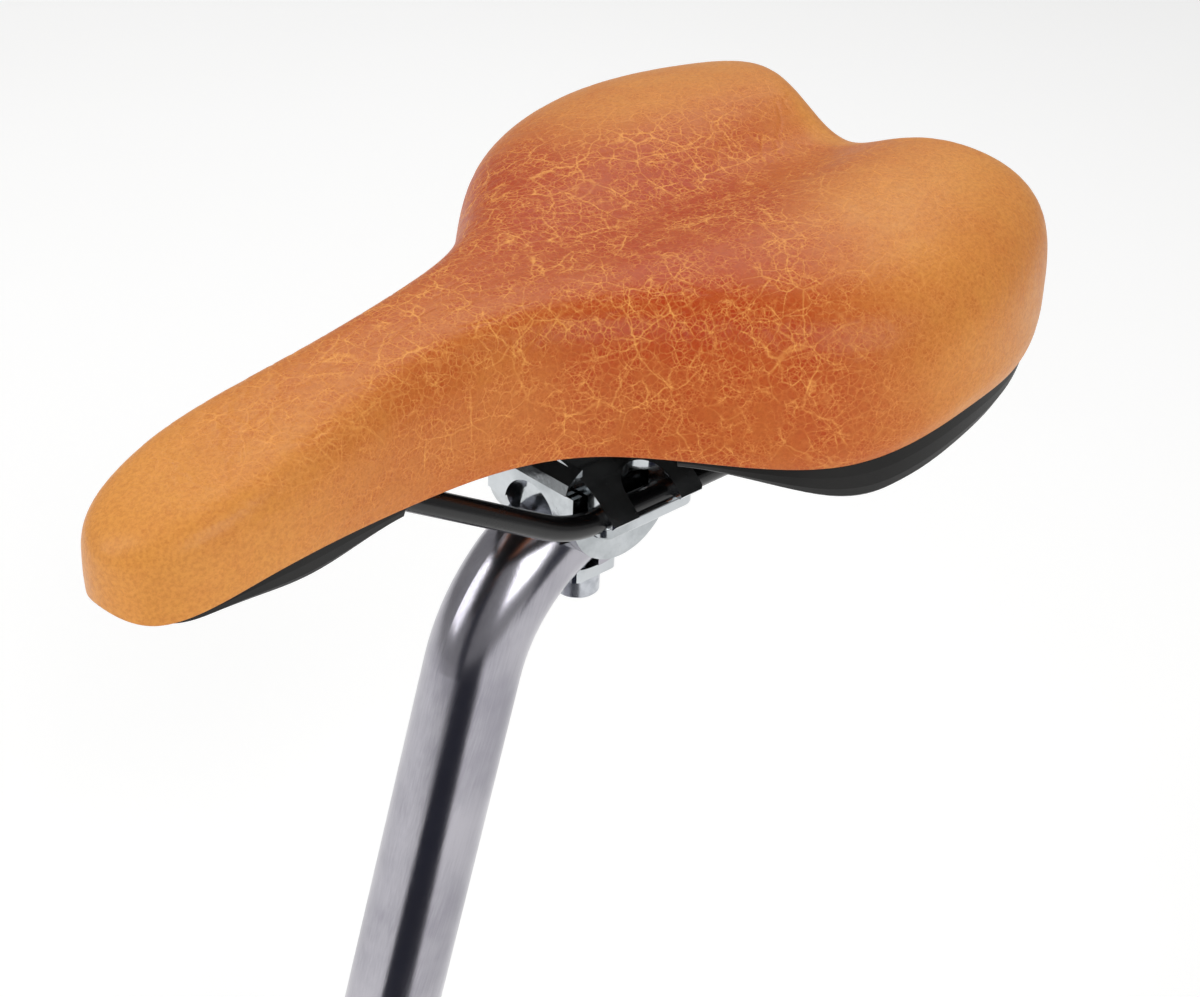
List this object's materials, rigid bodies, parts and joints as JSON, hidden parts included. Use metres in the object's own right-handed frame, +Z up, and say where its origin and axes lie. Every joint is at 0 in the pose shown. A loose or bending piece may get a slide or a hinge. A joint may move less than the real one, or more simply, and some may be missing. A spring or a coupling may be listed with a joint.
{
  "type": "bicycle saddle",
  "caption": "Padded leather city bicycle saddle with a central channel, on two steel rails held by a tilting single-bolt clamp on a laid-back seat post.",
  "frame": {"origin": "centre of the seat post's lower end, on the post's axis", "axes": "+X towards the nose of the saddle, +Y to the rider's left, +Z up"},
  "size_m": [0.2722, 0.1698, 0.368],
  "materials": {
    "post_alloy": "satin tube, polished bend",
    "clamp_alloy": "polished casting",
    "zinc_steel": "bright zinc plate",
    "tan_leather": "waxed pull-up leather with fine creases",
    "foam": "soft moulded foam",
    "black_plastic": "fine textured moulding",
    "black_enamel": "semi-gloss black enamel",
    "black_screws": "black oxide",
    "bush_rubber": "matt rubber",
    "socket_nylon": "glass-filled nylon"
  },
  "bodies": {
    "post": {"seat_post": "post_alloy"},
    "cradle": {"lower_cradle": "clamp_alloy", "curved_washer": "clamp_alloy", "spring_washer": "zinc_steel"},
    "saddle": {"leather_cover": "tan_leather", "foam_pad": "foam", "base_shell": "black_plastic", "rear_skirt": "black_plastic", "nose_skirt": "black_plastic", "cover_staples": "zinc_steel", "skirt_screws": "black_screws", "rails": "black_enamel", "rail_bushes": "bush_rubber", "rear_socket_left": "socket_nylon", "rear_socket_right": "socket_nylon", "socket_screws": "zinc_steel", "nose_seat": "socket_nylon", "nose_clip": "socket_nylon", "nose_clip_screws": "zinc_steel"},
    "cap": {"upper_clamp": "clamp_alloy", "clamp_nut": "zinc_steel"},
    "bolt": {"clamp_bolt": "zinc_steel"}
  },
  "joints": [
    {"name": "saddle_tilt", "type": "hinge", "parent": "post", "child": "cradle", "pos_m": [-0.10477, 0, 0.28218], "axis": [0, 1, 0], "range_deg": [-10, 10]},
    {"name": "saddle_slide", "type": "slide", "parent": "cradle", "child": "saddle", "axis": [1, 0, 0], "range_m": [0, 0.018]},
    {"name": "bolt_turn", "type": "hinge", "parent": "cradle", "child": "bolt", "pos_m": [-0.10477, 0, 0.28218], "axis": [0, 0, -1], "range_deg": [0, 720]},
    {"name": "cap_lift", "type": "slide", "parent": "cradle", "child": "cap", "axis": [0, 0, 1], "range_m": [0, 0.0025]}
  ],
  "couplings": [
    {"joint": "bolt_turn", "follows": "cap_lift", "rad_per_m": 5026.5}
  ]
}
